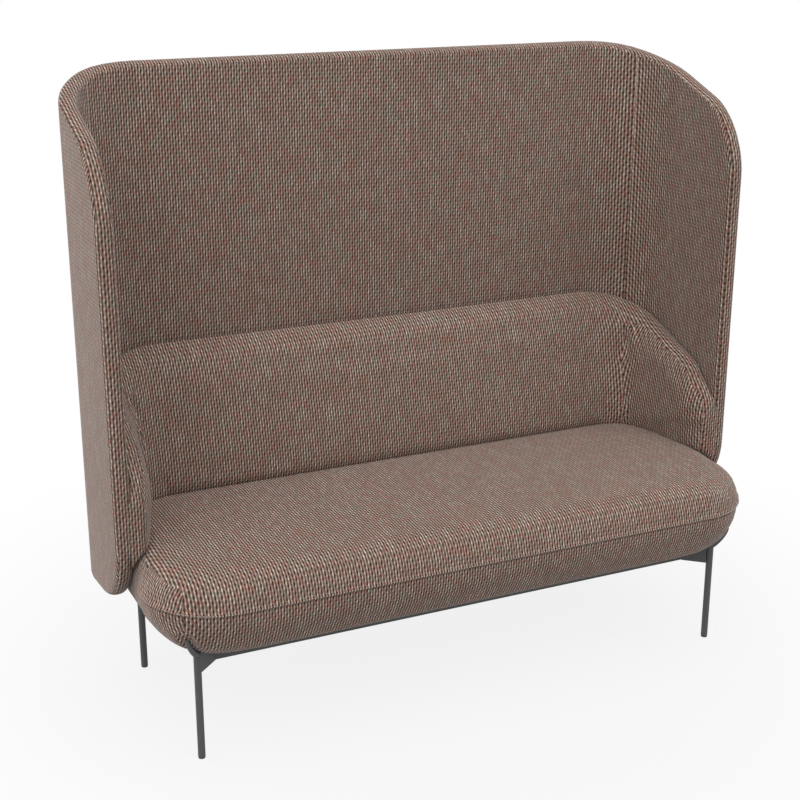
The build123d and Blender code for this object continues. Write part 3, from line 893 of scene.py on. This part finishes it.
shape = bmesh.new()
shape.from_mesh(seat.data)
for height, _ in lip_section:
    near = [face for face in shape.faces if abs(face.calc_center_median().z - height) < lip_reach]
    parts = set(near)
    for face in near:
        parts.update(face.edges)
        parts.update(face.verts)
    bmesh.ops.bisect_plane(
        shape, geom=list(parts), dist=1e-6, plane_co=(0, 0, height), plane_no=(0, 0, 1)
    )
seam_points = []
for vertex in shape.verts:
    if abs(vertex.co.z - seam_height) < lip_reach and free_of_shell(vertex.co) > 0:
        push = between(lip_section, vertex.co.z) * free_of_shell(vertex.co)
        vertex.co += outwards(vertex.co) * push
        if abs(vertex.co.z - stitch_height) < 1e-5:
            seam_points.append(vertex.co.copy())
shape.to_mesh(seat.data)
shape.free()
seam_points.sort(key=lambda point: atan2(point.x, seat_middle - point.y))
print("lip cut through", len(seam_points), "points")

# %% The dust cover's place
low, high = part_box("seat_dust_cover")
cover_margin = 0.002
lifted = high.z + 0.0015
for vertex in seat.data.vertices:
    spot = vertex.co
    over_x = low.x - cover_margin < spot.x < high.x + cover_margin
    over_y = low.y - cover_margin < spot.y < high.y + cover_margin
    if over_x and over_y and spot.z < lifted:
        spot.z = lifted
sewn(seat, cover_finish)
settle(seat, "upholstery", "seat_top_cover", "seat_lower_cover", "seat_foam")
print("seat:", len(seat.data.polygons), "faces")

# %% Stitches
stitch_radius = 0.001
stitch_sides = 6
stitch_rows = 4
stitch_stretch = (2.1, 1.0, 1.0)
stitch_lean = 0.35
stitch_proud = 0.0003
stitch_shape = bmesh.new()
run = 0.0
for start, end in zip(seam_points, seam_points[1:]):
    length = (end - start).length
    while run < length:
        place = start.lerp(end, run / max(length, 1e-6))
        if free_of_shell(place) > 0.5:
            made = bmesh.ops.create_uvsphere(
                stitch_shape, u_segments=stitch_sides, v_segments=stitch_rows, radius=stitch_radius
            )["verts"]
            turn = atan2(end.y - start.y, end.x - start.x)
            way = Vector((cos(turn), sin(turn), stitch_lean))
            lean = way.to_track_quat("X", "Z").to_matrix()
            spot = place + outwards(place) * stitch_proud
            bmesh.ops.scale(stitch_shape, vec=stitch_stretch, verts=made)
            bmesh.ops.rotate(stitch_shape, matrix=lean, verts=made)
            bmesh.ops.translate(stitch_shape, vec=spot, verts=made)
        run += column_pitch
    run -= length
stitch_finish = grained("stitch_thread", (0.32, 0.27, 0.23), (0.5, 0.44, 0.39), 700.0, 0.8)
stitches = piece_from(stitch_shape, "seat_seam_stitches", stitch_finish)
settle(stitches, "upholstery")
print("stitches:", len(stitches.data.polygons) // (stitch_sides * stitch_rows))

# %% [markdown]
# ## Welds
# Where a corner arm meets the ends of two rails, the bars are welded. A short upright bead fills
# the notch that the bars leave between them.

# %% Weld beads
bead_radius = 0.0049
bead_round = 0.0012
bead_short = 0.001
bead_out_x = 0.0006
bead_out_y = 0.0012
weld_shape = bmesh.new()
long_rails = [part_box("front_rail"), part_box("rear_rail")]
bead_count = 0
for hand in (-1, 1):
    for low, high in long_rails:
        made = bmesh.ops.create_cone(
            weld_shape, cap_ends=True, segments=16, radius1=bead_radius, radius2=bead_radius,
            depth=high.z - low.z - bead_short,
        )
        x = low.x if hand < 0 else high.x
        middle_y = (low.y + high.y) / 2
        off_y = bead_out_y if middle_y > seat_middle else -bead_out_y
        spot = (x + hand * bead_out_x, middle_y + off_y, (low.z + high.z) / 2)
        bmesh.ops.translate(weld_shape, vec=spot, verts=made["verts"])
        bead_count += 1
ends = [edge for edge in weld_shape.edges if abs(edge.verts[0].co.z - edge.verts[1].co.z) < 1e-6]
bmesh.ops.bevel(
    weld_shape, geom=ends, offset=bead_round, offset_type="OFFSET", segments=2,
    profile=0.5, affect="EDGES", material=-1,
)
welds = piece_from(weld_shape, "frame_welds", finishes["frame_steel"])
settle(welds, "frame_steel")
print("weld beads:", bead_count)

# %% [markdown]
# ## The padded band
# Backrest and arms are one soft band with leaning faces. Its solids already have that form, so
# their copies are joined, remeshed as one skin and relaxed, which rounds the upper edge as full
# padding does, and Cloth swells the free faces.

# %% The band's place in the shell
pad_names = ("left_arm_pad", "back_pad", "right_arm_pad")


def joined_copies(names):
    """Copies of some solids in one bmesh, with shared points merged."""
    shape = bmesh.new()
    for name in names:
        shape.from_mesh(nodes[name].data)
    bmesh.ops.remove_doubles(shape, verts=shape.verts, dist=1e-5)
    return shape


def wall_gap(point):
    """Distance to the shell's inner face, seen from above."""
    over_x = abs(point.x) - bend_x
    over_y = point.y - bend_y
    if over_x > 0 and over_y > 0:
        return bend_radius - half_thickness - sqrt(over_x**2 + over_y**2)
    side_gap = shell_half - 2 * half_thickness - abs(point.x)
    return min(side_gap, shell_back - 2 * half_thickness - point.y)


def band_held(point):
    """Points at the shell, at the seat and at the arms' front ends, which Cloth leaves alone."""
    return wall_gap(point) < 0.007 or point.z < 0.445 or point.y < -0.09


print("band made from", len(pad_names), "pads")

# %% The band's full forms
# Height of the band's upper edge, from the front of the arms to the back
band_top = [
    (-0.1, 0.53), (-0.09, 0.553), (-0.05, 0.62), (0.0, 0.658),
    (0.05, 0.678), (0.1, 0.695), (0.228, 0.742), (0.29, 0.762),
]
# Share of the roll, and most that the foot stands out, over the same run
roll_share = [(-0.07, 0.0), (0.0, 0.5), (0.1, 0.6), (0.2, 1.0)]
foot_fullness = [(-0.1, 0.004), (-0.04, 0.008), (0.12, 0.008), (0.18, 0.014)]
roll_rise = 0.016
roll_base = 0.004
roll_crest = 0.026
roll_slope = 0.062
roll_depth = 0.09
arm_forwards = 0.013
front_margin = 0.0008


def roll(point):
    """Rise of the full upper edge: it crests a little in front of the shell."""
    gap = wall_gap(point)
    crest = roll_base + roll_rise * ramp(gap, 0.0, roll_crest)
    crest *= 1 - ramp(gap, roll_crest, roll_slope)
    near_top = ramp(point.z - between(band_top, point.y), -roll_depth, roll_depth)
    return crest * near_top * between(roll_share, point.y)


def into_the_room(point):
    """Level direction away from the shell's inner face."""
    over_x = max(abs(point.x) - bend_x, 0.0) * (1 if point.x > 0 else -1)
    over_y = max(point.y - bend_y, 0.0)
    return -Vector((over_x, over_y, 0)).normalized()


def fullness(point):
    """How far the faces stand out: most at their foot, more at the back than on the arms."""
    face = ramp(wall_gap(point), 0.02, 0.03)
    low = 1 - ramp(point.z, 0.47, 0.24)
    return between(foot_fullness, point.y) * face * low


def forwards(point):
    """How far the upper front of an arm stands forwards."""
    most = arm_forwards * ramp(point.y, 0.05, -0.08) * ramp(point.z, 0.46, 0.08)
    return min(most, max(point.y + wing_front - front_margin, 0.0))


print("roll crests", round(roll_crest * 1000), "mm in front of the shell")

# %% The arms' front ends
arm_face = 0.693
arm_thickness = 0.036
arm_wall = 0.7294
arm_stretch = 0.0096
wall_margin = 0.0010


def nose_wall(y):
    """Place of the wing's inner face along its rounded front edge."""
    ahead = min(max(nose_radius - wing_front - y, 0.0), nose_radius)
    return shell_half - half_thickness - sewn_flat - sqrt(nose_radius**2 - ahead**2)


def to_the_nose(point):
    """Bring the front of an arm pad flush with the wing's rounded front edge."""
    hand = 1 if point.x > 0 else -1
    across = clamp((abs(point.x) - arm_face) / arm_thickness)
    ahead = ramp(point.y, -0.055, -0.04)
    stretched = point.y - arm_stretch * ahead * ramp(across, 0.0, 0.55)
    y = max(stretched, front_margin - wing_front)
    wall = nose_wall(y) - wall_margin
    x = abs(point.x) + (wall - arm_wall) * across * ahead
    return Vector((hand * min(x, wall), y, point.z))


print("arm fronts end", round(front_margin * 1000, 1), "mm behind the wings' front")

# %% Padded band
band_voxel = 0.009
band_swell = 0.006
nose_start = -0.05
foot_height = 0.458
foot_press = 0.0026
band_shape = joined_copies([f"{name}_foam" for name in pad_names])
band = piece_from(band_shape, "padded_band", cover_finish)
remeshed(band, band_voxel)
relax(band, 6, 0.5, lambda point: not band_held(point))
swell(band, band_held, lambda point: band_swell)
for vertex in band.data.vertices:
    vertex.co += into_the_room(vertex.co) * fullness(vertex.co)
    vertex.co.z += roll(vertex.co)
    vertex.co.y -= forwards(vertex.co)
    if vertex.co.y < nose_start:
        vertex.co = to_the_nose(vertex.co)
    vertex.co.z -= foot_press * ramp(vertex.co.z, foot_height, -0.02)
finer(band)
sewn(band, cover_finish)
pad_solids = [f"{name}_{layer}" for name in pad_names for layer in ("foam", "cover")]
settle(band, "upholstery", *pad_solids)
print("band:", len(band.data.polygons), "faces")

# %% [markdown]
# ## Floor and light
# The light is a white room: an even world, one wide window high above the front, a weaker one on
# the left and a lamp for the outer left side, each fitted to the photograph's tones. The
# floor is pale and takes the shadow; seen by the camera it fades to white away from the sofa.

# %% Floor
floor_radius = 30.0
shadow_share = 0.15
floor_grey = rgb(0.42, 0.42, 0.42)


def seen_directly(ink):
    """1 for rays that show the background: the camera's own, in gloss and through glass."""
    seen = ink.node("ShaderNodeLightPath", output="Is Camera Ray")
    seen = seen.larger(ink.node("ShaderNodeLightPath", output="Is Glossy Ray"))
    return seen.larger(ink.node("ShaderNodeLightPath", output="Is Transmission Ray"))


floor_shape = bmesh.new()
bmesh.ops.create_circle(floor_shape, cap_ends=True, segments=64, radius=floor_radius)
floor_mesh = bpy.data.meshes.new("floor")
floor_shape.to_mesh(floor_mesh)
floor_shape.free()
floor = bpy.data.objects.new("floor", floor_mesh)
scene.collection.objects.link(floor)

floor_finish, floor_shader, ink = new_finish("pale_floor")
feed(ink, floor_shader, {"Base Color": floor_grey, "Roughness": 0.9, "Specular IOR Level": 0.0})
floor_place = ink.node("ShaderNodeTexCoord", output="Object")
distance = ink.node("ShaderNodeVectorMath", {"operation": "LENGTH"}, {0: floor_place}, "Value")
far = distance.fade(0.5, 1.7)
white = ink.node("ShaderNodeEmission", None, {"Color": rgb(1, 1, 1), "Strength": 1.0})
shown = ink.node("ShaderNodeMixShader", None, {
    0: seen_directly(ink) * (far * shadow_share + (1 - shadow_share)),
    1: Ink(ink.tree, floor_shader.outputs[0]),
    2: white,
})
ink.tree.links.new(shown.socket, ink.tree.nodes["Material Output"].inputs["Surface"])
floor.data.materials.append(floor_finish)
print("floor:", floor_radius, "m to its edge")

# %% Light
room_light = 0.5
world = bpy.data.worlds.new("white_room")
world.use_nodes = True
scene.world = world
room = Ink(world.node_tree)
strength = seen_directly(room) * (1 - room_light) + room_light
background = world.node_tree.nodes["Background"]
background.inputs["Color"].default_value = rgb(1, 1, 1)
world.node_tree.links.new(strength.socket, background.inputs["Strength"])


def lamp(name, kind, direction, energy, place=(0, 0, 0)):
    """A lamp that shines in a direction; returns its settings."""
    data = bpy.data.lights.new(name, kind)
    data.energy = energy
    hung = bpy.data.objects.new(name, data)
    hung.location = place
    hung.rotation_euler = Vector(direction).to_track_quat("-Z", "Y").to_euler()
    scene.collection.objects.link(hung)
    return data


lamp("high_window", "SUN", (0.0, 0.5, -1.1), 2.5).angle = radians(80)
lamp("left_window", "SUN", (0.9, 0.35, -0.75), 0.7).angle = radians(60)
side_lamp = lamp("side_lamp", "AREA", (2.43, -2.5, -0.1), 66.0, (-3.2, 2.6, 0.9))
side_lamp.shape = "DISK"
side_lamp.size = 2.0
